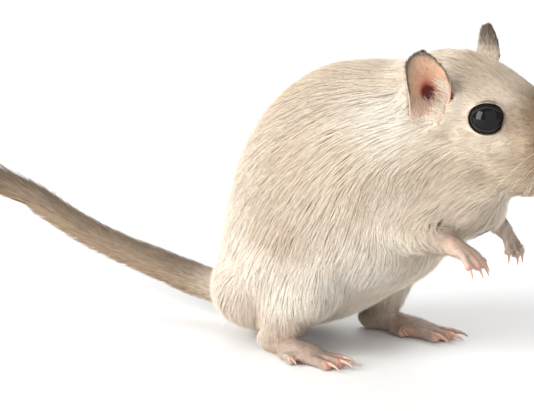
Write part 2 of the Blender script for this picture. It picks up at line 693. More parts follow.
def settle_at_eyes(surface):
    """The skin lies on the eyeball outside the lids' edge, and out of sight within it."""
    share = in_lids(surface.points)
    for side in (1, -1):
        middle = eye_axes(side)[0]
        gap = surface.points - middle
        far = np.linalg.norm(gap, axis=1)
        way = unit(gap)
        mine = far < EYE_NEAR
        hidden = mine & (share < LIDS_OPEN) & (far > EYE_R - EYE_SUNK)
        shown = mine & (share >= LIDS_OPEN) & (share < LIDS_ON_EYE)
        surface.points = np.where(hidden[:, None], middle + way * (EYE_R - EYE_SUNK), surface.points)
        surface.points = np.where(shown[:, None], middle + way * (EYE_R + 0.1), surface.points)
    # Beyond its edge each lid runs smoothly into the face.
    beyond = (share >= LIDS_ON_EYE) & (share < LIDS_FACE)
    ease(surface, beyond, EYE_ROUNDS)
    for side in (1, -1):
        middle = eye_axes(side)[0]
        gap = surface.points - middle
        sunk = beyond & (np.linalg.norm(gap, axis=1) < EYE_R + EYE_CLEAR)
        surface.points = np.where(sunk[:, None], middle + unit(gap) * (EYE_R + EYE_CLEAR), surface.points)


def tucked_under_ears(surface):
    """Moves skin that would fill an ear's cup behind its wall, and tells which points were moved."""
    moved = np.zeros(len(surface.points), bool)
    for side in (1, -1):
        grid, outward = ear_grid(side)
        rings, across = grid.shape[:2]
        quads = [
            (i * across + j, i * across + j + 1, (i + 1) * across + j + 1, (i + 1) * across + j)
            for i in range(rings - 1)
            for j in range(across - 1)
        ]
        tree = BVHTree.FromPolygons(grid.reshape(-1, 3).tolist(), quads)
        flat_out = outward[:-1, :-1].reshape(-1, 3)
        middle = from_head(np.array(CUP_AT) * (1, side, 1))
        above = in_head(surface.points)[:, 2] > EAR_LEDGE
        near = np.linalg.norm(surface.points - middle, axis=1) < CUP_NEAR
        for k in np.nonzero(above & near)[0]:
            spot, _, index, _ = tree.find_nearest(surface.points[k].tolist(), CUP_HIGH[1] + 0.5)
            if spot is None:
                continue
            out = flat_out[index]
            gap = surface.points[k] - spot
            high = gap @ out
            beside = np.linalg.norm(gap - out * high)
            if CUP_HIGH[0] < high < CUP_HIGH[1] and beside < CUP_BESIDE:
                surface.points[k] = np.array(spot) - out * CUP_BEHIND
                moved[k] = True
    return moved


def fill_mesh(mesh, surface):
    mesh.clear_geometry()
    mesh.from_pydata(rows_m(surface.points).tolist(), [], surface.faces.tolist())
    mesh.polygons.foreach_set("use_smooth", np.ones(len(mesh.polygons), bool))
    mesh.update()


# Markings.


def mark_table():
    rows = []
    for x, y, z, *colour in HEAD_MARKS:
        for side in both_sides(y):
            rows.append((*from_head((x, y * side, z)), *colour))
    for x, y, z, *colour in BODY_MARKS:
        for side in both_sides(y):
            rows.append((x, y * side, z, *colour))
    return np.array(rows)


def coat_colour(points):
    """The coat's colour at points of the body's frame."""
    colour = by_guides(points, mark_table(), 3)
    x, z = points[:, 0], points[:, 2]
    # The tail is grey brown above, tan below and dark at its tuft.
    height = z - np.interp(x, TAIL_LINE[::-1, 0], TAIL_LINE[::-1, 2])
    above = smooth_step(height, -2.4, 2.2)[:, None]
    tail = blend(np.array(TAIL_BELOW), TAIL_ABOVE, above)
    tail = blend(tail, TAIL_TIP, smooth_step(-x, *TAIL_DARKENS)[:, None])
    on_tail = (smooth_step(-x, *TAIL_ROOT) * smooth_step(20 + (x + 40) * -0.3 - z, 0, 6))[:, None]
    return blend(colour, tail, on_tail)


def bare_share(surface, fields):
    """How bare the skin is: on the nose, and on the feet and paws, where short hair still grows on top."""
    points = surface.points
    head = in_head(points)
    nose = 1 - smooth_step(np.linalg.norm((head - NOSE_AT) / NOSE_SIZE, axis=1), 0.75, 1.1)
    paws = 1 - smooth_step(fields[2], 0.05, 0.35)
    on_head = smooth_step(points[:, 0], 26, 28) * smooth_step(points[:, 2], 38, 42)
    return nose, paws * (1 - on_head)


def skin_colour(surface, fields):
    """The skin's own colour at each point, under the hair."""
    points = surface.points
    nose, paws = bare_share(surface, fields)
    on_paw = smooth_step(points[:, 2], 18, 22)[:, None]
    pink = blend(np.array(FOOT_PINK), PAW_PINK, on_paw)
    pink = pink * (0.75 + 0.5 * value_noise(points, 0.9)[:, None])
    # The toes are redder towards the claws.
    pink = blend(pink, CLAW_PINK, (1 - smooth_step(surface.claws, 0.4, 1.8))[:, None])
    colour = blend(coat_colour(points) * 0.9, pink, np.maximum(nose, paws)[:, None])
    colour = blend(colour, EYE_RIM, (1 - smooth_step(in_lids(points), 1.06, 1.14))[:, None])
    colour = blend(colour, EAR_FOOT, surface.spread(surface.tucked.astype(float), 2))
    head = in_head(points)
    gaps = [np.linalg.norm((head * (1, side, 1) - NOSTRIL_AT) / NOSTRIL_SIZE, axis=1) for side in (1, -1)]
    return blend(colour, NOSTRIL, (1 - smooth_step(np.minimum(*gaps), 0.7, 1.15))[:, None])


# Hair.


class Coat:
    """Grows closed, tapered hairs over a surface and makes them into pieces."""

    def __init__(self, surface, lie):
        self.surface, self.lie = surface, lie
        self.tree = surface.tree()
        self.face_lie = unit(lie[surface.faces].mean(axis=1))

    def roots(self, density, count, seed):
        """Places spread over the surface as density asks: face, share of each corner."""
        rng = np.random.default_rng(seed)
        weight = self.surface.areas * density[self.surface.faces].mean(axis=1)
        run = np.cumsum(weight)
        picks = (np.arange(count) + rng.random(count)) * run[-1] / count
        face = np.minimum(np.searchsorted(run, picks), len(run) - 1)
        a, b = rng.random(count), rng.random(count)
        flip = a + b > 1
        a[flip], b[flip] = 1 - a[flip], 1 - b[flip]
        order = rng.permutation(count)
        return face[order], np.stack([1 - a - b, a, b], 1)[order]

    def at(self, values, face, share):
        """The values of the surface's points at places on its faces."""
        picked = values[self.surface.faces[face]]
        if picked.ndim == 2:
            return (picked * share).sum(1)
        return (picked * share[:, :, None]).sum(1)

    def grown(self, face, share, long, high, segments, stray, seed):
        """The points of each hair, root to tip, and the surface's normal there."""
        rng = np.random.default_rng(seed)
        spot = self.at(self.surface.points, face, share)
        normal = unit(self.at(self.surface.normals, face, share))
        way = unit(self.at(self.lie, face, share))
        side = np.cross(normal, way)
        clump, wisp = lattice(np.floor(spot / CLUMP)) - 0.5, lattice(np.floor(spot / WISP)) - 0.5
        wave = value_noise(spot, WAVE) - 0.5
        turn = (wave * 0.3 + clump * 0.10 + wisp * 0.16 + rng.normal(0, 0.06, len(spot))) * stray
        way = unit(way + side * turn[:, None])
        spots, normals = [spot - normal * ROOT_DEEP], [normal]
        ground = spot
        bend = (rng.random(len(spot)) - 0.5) * 0.18 * stray
        for step in range(1, segments + 1):
            t = step / segments
            reach = ground + way * (long / segments)[:, None]
            found = [self.tree.find_nearest(p) for p in reach.tolist()]
            ground = np.array([f[0] for f in found])
            under = np.array([f[2] for f in found])
            normal = unit(normal * 0.35 + self.surface.face_normals[under])
            flow = self.face_lie[under]
            way = unit(way * 0.75 + flow * 0.25 + np.cross(normal, way) * (bend / segments)[:, None])
            way = unit(way - normal * (way * normal).sum(1, keepdims=True))
            lift = high * (t**0.75)
            spots.append(ground + normal * lift[:, None])
            normals.append(normal)
        return np.stack(spots, 1), np.stack(normals, 1)


def hair_faces(rings):
    """The triangles of one closed hair of three sides, whose last ring is its tip."""
    last = (rings - 2) * 3
    faces = [(0, 2, 1)]
    for low in range(0, last, 3):
        for k in range(3):
            j = (k + 1) % 3
            faces += [(low + k, low + j, low + j + 3), (low + k, low + j + 3, low + k + 3)]
    return np.array(faces + [(last + k, last + (k + 1) % 3, last + 3) for k in range(3)])


def hair_mesh(name, spots, normals, wide, colours, uv, flat=0.55, profile=(0.75, 1.0, 0.8, 0.45)):
    """A mesh of closed hairs of three sides. spots is hairs x rings x 3, its last ring the tip."""
    count, rings = spots.shape[:2]
    body = rings - 1
    shape = np.interp(np.linspace(0, 1, rings)[:-1], np.linspace(0, 1, len(profile)), profile)
    along = unit(np.gradient(spots, axis=1))
    across = unit(np.cross(normals, along))
    out = unit(np.cross(along, across))
    points = np.empty((count, body * 3 + 1, 3))
    shading = np.empty_like(points)
    for ring in range(body):
        for k, angle in enumerate(np.radians((210, 330, 90))):
            push = across[:, ring] * math.cos(angle) + out[:, ring] * math.sin(angle) * flat
            index = ring * 3 + k
            points[:, index] = spots[:, ring] + push * (wide * shape[ring] / 2)[:, None]
            shading[:, index] = unit(normals[:, ring] + push * 0.4)
    points[:, -1] = spots[:, -1]
    shading[:, -1] = normals[:, -1]
    faces = hair_faces(rings)[None] + (np.arange(count) * points.shape[1])[:, None, None]
    # Colour from root to tip, and each hair's own patch of the bake map.
    t = np.append(np.repeat(np.linspace(0, 1, rings)[:-1], 3), 1.0)
    tint = colours[:, 0][:, None, :] * (1 - t)[None, :, None] + colours[:, 1][:, None, :] * t[None, :, None]
    spread = np.stack([np.append(np.tile((-0.5, 0.5, 0.0), body), 0.0), t - 0.5], 1) * BAKE_PATCH
    patch = uv[:, None, :] + spread[None]
    flat_rows = [values.reshape(-1, 3) for values in (points, faces, shading, tint)]
    return make_mesh(name, *flat_rows, patch.reshape(-1, 2))


def make_mesh(name, points, faces, shading, tint, uv):
    mesh = bpy.data.meshes.new(name)
    mesh.vertices.add(len(points))
    mesh.vertices.foreach_set("co", rows_m(points).astype(np.float32).ravel())
    mesh.loops.add(len(faces) * 3)
    mesh.loops.foreach_set("vertex_index", faces.astype(np.int32).ravel())
    mesh.polygons.add(len(faces))
    mesh.polygons.foreach_set("loop_start", np.arange(0, len(faces) * 3, 3, dtype=np.int32))
    mesh.update(calc_edges=True)
    mesh.polygons.foreach_set("use_smooth", np.ones(len(faces), bool))
    add_tint(mesh, tint)
    layer = mesh.uv_layers.new(name="OFBake")
    layer.data.foreach_set("uv", uv[faces.ravel()].astype(np.float32).ravel())
    mesh.normals_split_custom_set_from_vertices(shading.tolist())
    return linked(name, mesh)


def add_tint(mesh, tint):
    layer = mesh.color_attributes.new("tint", "FLOAT_COLOR", "POINT")
    rgba = np.ones((len(tint), 4), np.float32)
    rgba[:, :3] = tint
    layer.data.foreach_set("color", rgba.ravel())


def pieces_of(name, spots, normals, wide, colours, uv, material, slot, **more):
    """Hairs split into pieces of under 200,000 triangles, each riding on the root."""
    spots[..., 2] = np.maximum(spots[..., 2], HAIR_LOW)
    triangles = 6 * (spots.shape[1] - 2) + 4
    parts = math.ceil(len(spots) * triangles / PIECE_TRIANGLES)
    for i, index in enumerate(np.array_split(np.arange(len(spots)), parts)):
        label = name if parts == 1 else name + "_" + str(i + 1)
        obj = hair_mesh(label, spots[index], normals[index], wide[index], colours[index], uv[index], **more)
        obj.data.materials.append(material)
        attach(obj, "root")


def unwrap(obj):
    """Lays the skin's own shape out flat in a map named OFBake."""
    obj.data.uv_layers.new(name="OFBake")
    bpy.ops.object.select_all(action="DESELECT")
    obj.select_set(True)
    bpy.context.view_layer.objects.active = obj
    bpy.ops.object.mode_set(mode="EDIT")
    bpy.ops.mesh.select_all(action="SELECT")
    bpy.ops.uv.smart_project(angle_limit=math.radians(72), island_margin=0.001)
    bpy.ops.object.mode_set(mode="OBJECT")


def face_uvs(mesh):
    uv = np.empty(len(mesh.loops) * 2, np.float32)
    mesh.uv_layers["OFBake"].data.foreach_get("uv", uv)
    return uv.reshape(-1, 3, 2)


# Materials.


def new_material(name, roughness, specular=0.5):
    material = bpy.data.materials.new(name)
    material.use_nodes = True
    shader = material.node_tree.nodes["Principled BSDF"]
    shader.inputs["Roughness"].default_value = roughness
    shader.inputs["Specular IOR Level"].default_value = specular
    return material, material.node_tree, shader


def noise_node(tree, scale, detail=2.0):
    place = tree.nodes.new("ShaderNodeTexCoord")
    noise = tree.nodes.new("ShaderNodeTexNoise")
    noise.inputs["Scale"].default_value = scale
    noise.inputs["Detail"].default_value = detail
    tree.links.new(place.outputs["Object"], noise.inputs["Vector"])
    return noise


def mottled(name, roughness, specular, grain, detail, low, high):
    """A material whose colour runs from low to high by fine noise."""
    material, tree, shader = new_material(name, roughness, specular)
    noise = noise_node(tree, grain, detail)
    ramp = tree.nodes.new("ShaderNodeValToRGB")
    for element, colour in zip(ramp.color_ramp.elements, (low, high)):
        element.color = (*colour, 1)
    tree.links.new(noise.outputs["Fac"], ramp.inputs["Fac"])
    tree.links.new(ramp.outputs["Color"], shader.inputs["Base Color"])
    return material


def tinted(name, roughness, specular, vary, grain, bump=0.0, bump_grain=0.0):
    """A material whose colour is the mesh's tint, mottled by fine noise."""
    material, tree, shader = new_material(name, roughness, specular)
    tint = tree.nodes.new("ShaderNodeVertexColor")
    tint.layer_name = "tint"
    noise = noise_node(tree, grain)
    spread = tree.nodes.new("ShaderNodeMapRange")
    spread.inputs["From Min"].default_value = 0.3
    spread.inputs["From Max"].default_value = 0.7
    spread.inputs["To Min"].default_value = 1 - vary
    spread.inputs["To Max"].default_value = 1 + vary
    tree.links.new(noise.outputs["Fac"], spread.inputs["Value"])
    mix = tree.nodes.new("ShaderNodeVectorMath")
    mix.operation = "SCALE"
    tree.links.new(tint.outputs["Color"], mix.inputs[0])
    tree.links.new(spread.outputs["Result"], mix.inputs["Scale"])
    tree.links.new(mix.outputs["Vector"], shader.inputs["Base Color"])
    if bump:
        fine = noise_node(tree, bump_grain, 3.0)
        bumps = tree.nodes.new("ShaderNodeBump")
        bumps.inputs["Strength"].default_value = bump
        bumps.inputs["Distance"].default_value = 0.0002
        tree.links.new(fine.outputs["Fac"], bumps.inputs["Height"])
        tree.links.new(bumps.outputs["Normal"], shader.inputs["Normal"])
    return material


# The coat over the skin.


def hair_colours(points, rng, root_shade, tip_shade, spread):
    """Root and tip colours of each hair: the markings, a clump's own shade and the hair's own."""
    base = coat_colour(points)
    clump = lattice(np.floor(points / WISP) + 77) - 0.5
    broad = value_noise(points, SHADE_PATCH, 3.3) - 0.5
    shade = 1 + clump * 0.14 + broad * 0.08 + rng.normal(0, spread, len(points))
    shade = np.clip(shade, 0.5, 1.25)[:, None]
    # Some hairs are tipped with brown, more of them where the coat is darker.
    chance = rng.random(len(points)) * 0.35 + lattice(np.floor(points / WISP) + 31) * 0.65
    dark = chance < 0.19 + 0.45 * np.clip(0.75 - base.mean(axis=1), 0, 1)
    shade = shade * np.where(dark[:, None], np.array((0.72, 0.63, 0.53)), 1.0)
    warm = (rng.random(len(points)) - 0.5)[:, None] * np.array((0.0, -0.02, -0.08))
    base = np.clip(base * shade * (1 + warm), 0.01, 0.93)
    return np.stack([base * root_shade, np.clip(base * tip_shade, 0, 0.95)], 1)


# The coat's layers: hairs, segments, share of the guides' length, lowest and highest tip as shares of the
# coat's depth, how far they stray, shade of root and tip, spread of shade, width.
LAYERS = {
    "coat_under": (15000, 1, 0.55, (0.10, 0.45), 1.0, (0.92, 1.0), 0.05, 1.5),
    "coat": (82000, 2, 1.0, (0.75, 1.25), 1.0, (0.92, 1.03), 0.07, 0.66),
    "coat_short": (40000, 2, 1.0, (0.4, 1.3), 0.7, (0.88, 1.03), 0.08, 0.85),
    "foot_hair": (10000, 1, 1.2, (1.5, 4.5), 1.3, (0.8, 1.15), 0.22, 0.9),
}


def grow_coat(surface, fields, uvs, material):
    """The coat's layers, each where its hair grows."""
    lie, long, depth, wide = fields
    coat = Coat(surface, lie)
    nose, paws = bare_share(surface, fields)
    open_skin = (1 - nose) * (in_lids(surface.points) > 1.03) * (1 - surface.tucked)
    body = smooth_step(depth, 0.8, 1.3)
    tops = smooth_step(surface.points[:, 2], 0.8, 2.0) * smooth_step(surface.claws, 0.4, 0.9)
    density = {
        "coat_under": body * open_skin,
        "coat": body * open_skin,
        "coat_short": (1 - body) * (1 - paws) * open_skin / np.maximum(long, 0.9) ** 1.2,
        "foot_hair": paws * tops,
    }
    for k, (name, settings) in enumerate(LAYERS.items()):
        count, segments, share_long, heights, stray, shades, spread, share_wide = settings
        seed = SEED + 20 * (k + 1)
        rng = np.random.default_rng(seed)
        face, corners = coat.roots(density[name], count, seed)
        hair_long = coat.at(long, face, corners) * share_long * rng.uniform(0.7, 1.15, count)
        high = np.maximum(coat.at(depth, face, corners), 0.12) * rng.uniform(*heights, count)
        spots, normals = coat.grown(face, corners, hair_long, high, segments, stray, seed + 5)
        widths = coat.at(wide, face, corners) * rng.uniform(0.7, 1.2, count) * share_wide
        colours = hair_colours(spots[:, 0], rng, *shades, spread)
        uv = (uvs[face] * corners[:, :, None]).sum(1)
        pieces_of(name, spots, normals, widths, colours, uv, material, "coat")


# Eyes.


# The lids' colour at their inner edge, and what is added at the outer one.
LID_INNER, LID_OUTER = (0.008, 0.007, 0.007), (0.055, 0.042, 0.036)


def build_eye(side_name, material):
    side = SIDES[side_name]
    middle, look = eye_axes(side)[:2]
    bm = bmesh.new()
    bmesh.ops.create_uvsphere(bm, u_segments=64, v_segments=40, radius=1.0)
    turn = Vector(look).to_track_quat("Z", "Y").to_matrix().to_4x4()
    place = Matrix.Translation(rows_m(middle)) @ turn @ Matrix.Scale(EYE_R * 0.001, 4)
    bm.transform(place)
    obj = smooth_object("eyeball_" + side_name, bm, material)
    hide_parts("eye_" + side_name)


def build_lids(side_name, material):
    """The dark edge of the lids, a ring on the eyeball with a pointed corner in front."""
    side = SIDES[side_name]
    middle, look, forward, up = eye_axes(side)
    around, across = 96, 12
    angle = np.linspace(0, 2 * math.pi, around, endpoint=False)
    tilt = np.arcsin(np.minimum(lids_reach(angle) / (EYE_R + 0.1), 0.995))
    radial = forward * np.cos(angle)[:, None] + up * np.sin(angle)[:, None]
    way = look * np.cos(tilt)[:, None] + radial * np.sin(tilt)[:, None]
    beside = radial * np.cos(tilt)[:, None] - look * np.sin(tilt)[:, None]
    half_wide, half_thick = LIDS_EDGE
    points, tints = [], []
    for b in np.linspace(0, 2 * math.pi, across, endpoint=False):
        out = half_thick * (0.35 + math.cos(b))
        points.append(middle + way * (EYE_R + out) + beside * half_wide * math.sin(b))
        outer = max(0.0, math.sin(b)) ** 2
        tint = np.array(LID_INNER) + outer * np.array(LID_OUTER)
        tints.append(np.tile(tint, (around, 1)))
    points, tints = np.stack(points, 1), np.stack(tints, 1)
    bm = bmesh.new()
    verts = [[bm.verts.new(rows_m(p)) for p in ring] for ring in points]
    for j in range(around):
        for k in range(across):
            after, beyond = (j + 1) % around, (k + 1) % across
            bm.faces.new((verts[j][k], verts[j][beyond], verts[after][beyond], verts[after][k]))
    bmesh.ops.recalc_face_normals(bm, faces=bm.faces)
    obj = smooth_object("lids_" + side_name, bm, material)
    add_tint(obj.data, tints.reshape(-1, 3))


def smooth_object(name, bm, material):
    """A smooth piece of the object made from bm, riding on the root."""
    mesh = bpy.data.meshes.new(name)
    bm.to_mesh(mesh)
    bm.free()
    mesh.polygons.foreach_set("use_smooth", np.ones(len(mesh.polygons), bool))
    obj = linked(name, mesh)
    mesh.materials.append(material)
    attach(obj, "root")
    return obj


# Ears.

# Rim behind, rim ahead, cup's depth, from below the skin to the tip, in the head's frame.
EAR = (
    (-15, 10.4, -2.8, -10.2, 9.6, -2.4, 0.3),
    (-15.4, 12.5, -1.2, -9.2, 11.3, -1, 0.5),
    (-14.8, 13.7, 1.6, -7.9, 11.3, 1.6, 2.3),
    (-14.1, 15.2, 4.6, -6.9, 11.5, 4.4, 3.5),
    (-13.9, 16.7, 8, -6.3, 12.3, 7.6, 2.8),
    (-14, 17, 10.9, -7, 12.9, 10.5, 1.8),
    (-13.8, 16.7, 12.3, -8.1, 13.7, 12, 1.2),
    (-13.2, 16.2, 13.4, -9.1, 14.2, 13.1, 0.7),
    (-12.3, 15.7, 14, -10.1, 14.7, 13.8, 0.3),
    (-11.3, 15.2, 14.2, -11, 15.1, 14.15, 0.1),
)
EAR_OPENS = (0.52, 0.85, 0.03)
# Below this height the skin of the cheek closes the cup.
EAR_LEDGE = -0.4
# How far the skin rises to the front rim, and from how far away.
EAR_JOIN = (1.4, 3.2)
# The far ear is turned a little more to the side, about its foot.
EAR_TURNS, EAR_FOOT_AT = {-1: 0.0, 1: -12.0}, (-9.0, 11.5, 0.0)
# Skin inside the cup is moved behind its wall: where to look for it and how far round, how far below and
# above the wall and beside it such skin lies, and how far behind it goes.
CUP_AT, CUP_NEAR, CUP_HIGH, CUP_BESIDE, CUP_BEHIND = (-12.0, 11.5, 3.0), 10, (-1.1, 5.5), 0.35, 1.2
EAR_RINGS, EAR_ACROSS, EAR_WALL = 44, 25, 0.42
# The ear's hole: its place and size along and across the cup, and its depth.
HOLE_V, HOLE_U, HOLE_DEEP = (0.35, 0.065), (-0.04, 0.22), 1.4


def ear_grid(side):
    """The ear's inner wall as rings of points, and the way out of the cup at each, in the body's frame."""
    rows = curve_through(EAR, EAR_RINGS)
    for _ in range(4):
        rows[1:-1] = (rows[:-2] + 2 * rows[1:-1] + rows[2:]) / 4
    opens = unit(np.array(EAR_OPENS))
    grid, outward = [], []
    for row in rows:
        behind, ahead, depth = row[:3], row[3:6], max(row[6], 0.05)
        half = np.linalg.norm(ahead - behind) / 2
        along = unit(ahead - behind)
        out = unit(opens - along * (opens @ along))
        turn = 2 * math.atan2(depth, half)
        radius = half / math.sin(turn)
        ring, ring_out = [], []
        for u in np.linspace(-1, 1, EAR_ACROSS):
            spot = (behind + ahead) / 2 + along * radius * math.sin(turn * u)
            spot = spot - out * (depth - radius * (1 - math.cos(turn * u)))
            ring.append(spot)
            ring_out.append(unit(out * math.cos(turn * u) - along * math.sin(turn * u)))
        grid.append(ring)
        outward.append(ring_out)
    mirror = np.array((1, side, 1))
    grid, outward = np.array(grid) * mirror, np.array(outward) * mirror
    turn = np.array(Matrix.Rotation(math.radians(EAR_TURNS[side]), 3, "Z"))
    foot = np.array(EAR_FOOT_AT) * mirror
    grid, outward = (grid - foot) @ turn.T + foot, outward @ turn.T
    return from_head(grid), turned_from_head(outward)


def build_ear(side_name, material):
    """A closed cup with a thin rim. Returns its two walls' grids and the way out of the cup."""
    side = SIDES[side_name]
    inner, outward = ear_grid(side)
    # The wall is thinnest at the rim and thickens to the foot.
    u = np.abs(np.linspace(-1, 1, EAR_ACROSS))[None, :, None]
    v = np.linspace(0, 1, EAR_RINGS)[:, None, None]
    wall = EAR_WALL * (0.55 + 0.45 * (1 - u**4)) * (0.6 + 0.4 * (1 - v**6)) * (1 + 1.2 * (1 - v) ** 3)
    # The ear's hole is a hollow in the cup's wall.
    hole = ear_hole(v[:, :, 0], np.linspace(-1, 1, EAR_ACROSS)[None, :])[:, :, None]
    inner = inner - outward * hole * HOLE_DEEP
    outer = inner - outward * wall
    bm = bmesh.new()
    front, back = [[[bm.verts.new(rows_m(p)) for p in ring] for ring in grid] for grid in (inner, outer)]
    close_cup(bm, front, back, side)
    places = [(v, u) for v in np.linspace(0, 1, EAR_RINGS) for u in np.linspace(-1, 1, EAR_ACROSS)]
    tints = np.array([ear_tint(behind, *place) for behind in (0, 1) for place in places])
    bmesh.ops.recalc_face_normals(bm, faces=bm.faces)
    obj = smooth_object("ear_skin_" + side_name, bm, material)
    add_tint(obj.data, tints)
    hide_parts("ear_" + side_name)
    return inner, outer, outward


def close_cup(bm, front, back, side):
    """Faces over the cup's inner and outer wall and along its rim."""
    def quad(a, b, c, d):
        bm.faces.new((a, b, c, d) if side > 0 else (d, c, b, a))

    for i in range(EAR_RINGS - 1):
        for j in range(EAR_ACROSS - 1):
            quad(front[i][j], front[i][j + 1], front[i + 1][j + 1], front[i + 1][j])
            quad(back[i][j], back[i + 1][j], back[i + 1][j + 1], back[i][j + 1])
        quad(front[i][0], front[i + 1][0], back[i + 1][0], back[i][0])
        quad(front[i][-1], back[i][-1], back[i + 1][-1], front[i + 1][-1])
    for j in range(EAR_ACROSS - 1):
        quad(front[-1][j], front[-1][j + 1], back[-1][j + 1], back[-1][j])
        quad(front[0][j], back[0][j], back[0][j + 1], front[0][j + 1])


def ear_hole(v, u):
    """1 at the middle of the ear's hole, 0 away from it."""
    along, across = (v - HOLE_V[0]) / HOLE_V[1], (u - HOLE_U[0]) / HOLE_U[1]
    return np.exp(-((along**2 + across**2) ** 1.5))


EAR_BACK, EAR_RIM, EAR_INSIDE = (0.17, 0.13, 0.10), (0.17, 0.125, 0.095), (0.62, 0.37, 0.24)
EAR_BEHIND, EAR_LOW, EAR_HOLE = (0.44, 0.30, 0.195), (0.66, 0.41, 0.32), (0.15, 0.02, 0.018)
EAR_RED = (0.42, 0.11, 0.07)
# The lower part of the ear's back has the head's cream hair: v where it ends and where the dark is full.
EAR_CREAM = (0.44, 0.62)


def ear_tint(back, v, u):
    """The ear's colour: v from foot to tip, u from the rim behind (-1) to the rim ahead (1)."""
    if back:
        return blend(np.array(EAR_BACK), TAN, 1 - smooth_step(v, *EAR_CREAM))
    colour = np.array(EAR_INSIDE)
    for other, share in (
        (EAR_BEHIND, smooth_step(-u, 0.1, 0.8)),
        (EAR_LOW, 1 - smooth_step(v, 0.15, 0.36)),
        (EAR_RED, np.exp(-(((v - 0.38) / 0.11) ** 2 + ((u - 0.02) / 0.40) ** 2))),
        (EAR_HOLE, np.minimum(1, ear_hole(v, u) * 1.5)),
        (EAR_RIM, smooth_step(-u, 0.62, 1.0) * smooth_step(v, 0.4, 0.7)),
        (EAR_RIM, smooth_step(u, 0.86, 1.0) * smooth_step(v, 0.32, 0.5)),
        (EAR_RIM, smooth_step(v, 0.72, 1.0) * 0.9),
    ):
        colour = blend(colour, other, share)
    return colour


# Ear hairs: how many, v and u from and to, on the back, length, height at the tip, way across, colour.
EAR_HAIRS = (
    (2200, (0.15, 0.98), (-1, 1), True, 1.6, 0.3, 0, (0.17, 0.13, 0.1)),
    (700, (0.35, 1), (-1, -0.94), False, 1.2, 0.3, 0, (0.25, 0.19, 0.145)),
    (500, (0.45, 1), (0.94, 1), False, 1, 0.3, 0, (0.25, 0.19, 0.145)),
    (300, (0.45, 0.99), (-0.98, 0.9), False, 1.1, 0.12, 0.1, (0.46, 0.33, 0.24)),
    (190, (0.1, 0.46), (0.55, 1), False, 3.2, 1.4, -1, (0.82, 0.72, 0.59)),
    (200, (0.1, 0.3), (-1, 0.9), False, 2, 0.8, -0.3, (0.78, 0.68, 0.55)),
)


def ear_hairs(side_name, grids, material):
    """The hairs on both walls of an ear."""
    inner, outer, outward = grids
    rng = np.random.default_rng(SEED + 300 + SIDES[side_name])
    for k, (count, vs, us, back, long, high, sideways, colour) in enumerate(EAR_HAIRS):
        v, u = rng.uniform(*vs, count), rng.uniform(*us, count)
        wall, out = (outer, -outward) if back else (inner, outward)
        spots, normals = ear_strands(wall, out, v, u, long, high, sideways, rng)
        tints = np.array(colour)[None] * rng.normal(1, 0.12, count)[:, None]
        if back:
            cream = (1 - smooth_step(v + rng.normal(0, 0.07, count), *EAR_CREAM))[:, None]
            tints = blend(tints, np.array(CREAM) * 0.92, cream)
        colours = np.clip(np.stack([tints * 0.88, tints * 1.08], 1), 0.01, 0.93)
        uv = np.stack([(u + 1) * 0.45 + 0.05, v * 0.9 + 0.05], 1)
        wide = rng.uniform(0.05, 0.09, count)
        name = "ear_hair_%s_%d" % (side_name, k + 1)
        pieces_of(name, spots, normals, wide, colours, uv, material, "ear")


def ear_strands(grid, outward, v, u, long, high, sideways, rng):
    """Hairs on an ear's grid, running to the tip, and sideways to the rim ahead or (below 0) behind."""
    i = np.clip((v * (EAR_RINGS - 1)).astype(int), 0, EAR_RINGS - 2)
    j = np.clip(((u + 1) / 2 * (EAR_ACROSS - 1)).astype(int), 0, EAR_ACROSS - 2)
    fi = (v * (EAR_RINGS - 1) - i)[:, None]
    fj = ((u + 1) / 2 * (EAR_ACROSS - 1) - j)[:, None]
    spot = grid[i, j] * (1 - fi) * (1 - fj) + grid[i + 1, j] * fi * (1 - fj)
    spot = spot + grid[i, j + 1] * (1 - fi) * fj + grid[i + 1, j + 1] * fi * fj
    up = unit(grid[i + 1, j] - grid[i, j])
    across = unit(grid[i, j + 1] - grid[i, j])
    out = unit(outward[i, j])
    lean = sideways if sideways else np.sign(u)[:, None] * 0.25
    rise = 0.1 + 0.9 * v[:, None] if sideways < -0.5 else 1.0
    way = unit(across * lean + up * rise + rng.normal(0, 0.15, spot.shape))
    long = long * rng.uniform(0.6, 1.2, len(v))[:, None]
    rings = [spot - out * 0.1]
    for t in (0.5, 1.0):
        rings.append(spot + way * long * t + out * high * t**0.8)
    return np.stack(rings, 1), np.repeat(out[:, None], 3, 1)


# Whiskers.


WHISKER_PALE = (0.82, 0.78, 0.72)


def whiskers(material):
    """Long pale whiskers in four rows on each side, sweeping back and down."""
    rng = np.random.default_rng(SEED + 500)
    spots, normals, wide = [], [], []
    steps = np.linspace(0, 1, 8)[:, None]
    for side in (1, -1):
        for row in range(4):
            for k in range(4):
                x, z = 17.6 - k * 1.5 - row * 0.2, -5.0 - row * 1.4 + k * 0.1
                y = 4.4 + k * 0.62 - abs(row - 1.5) * 0.3
                long = (10 + k * 3.4 + row * 1.2) * rng.uniform(0.85, 1.1)
                way = unit(np.array((-0.45, side * 0.62, -0.35 - 0.16 * row)) + rng.normal(0, 0.05, 3))
                droop = np.array((-0.10, -0.16 * side, -0.42))
                path = np.array((x, y * side, z)) + way * long * steps + droop * long * steps**2
                spots.append(from_head(path))
                normals.append(np.tile(turned_from_head(np.array((0.3, side * 0.5, 0.8))), (8, 1)))
                wide.append(0.046 + 0.006 * k)
    spots, normals = np.array(spots), np.array(normals)
    colours = np.tile(np.array(WHISKER_PALE), (len(spots), 2, 1))
    uv = np.stack([rng.random(len(spots)) * 0.9 + 0.05, rng.random(len(spots)) * 0.9 + 0.05], 1)
    pieces_of("whiskers", spots, normals, np.array(wide), colours, uv, material, "coat", flat=1.0,
              profile=(1.0, 0.85, 0.6, 0.35))


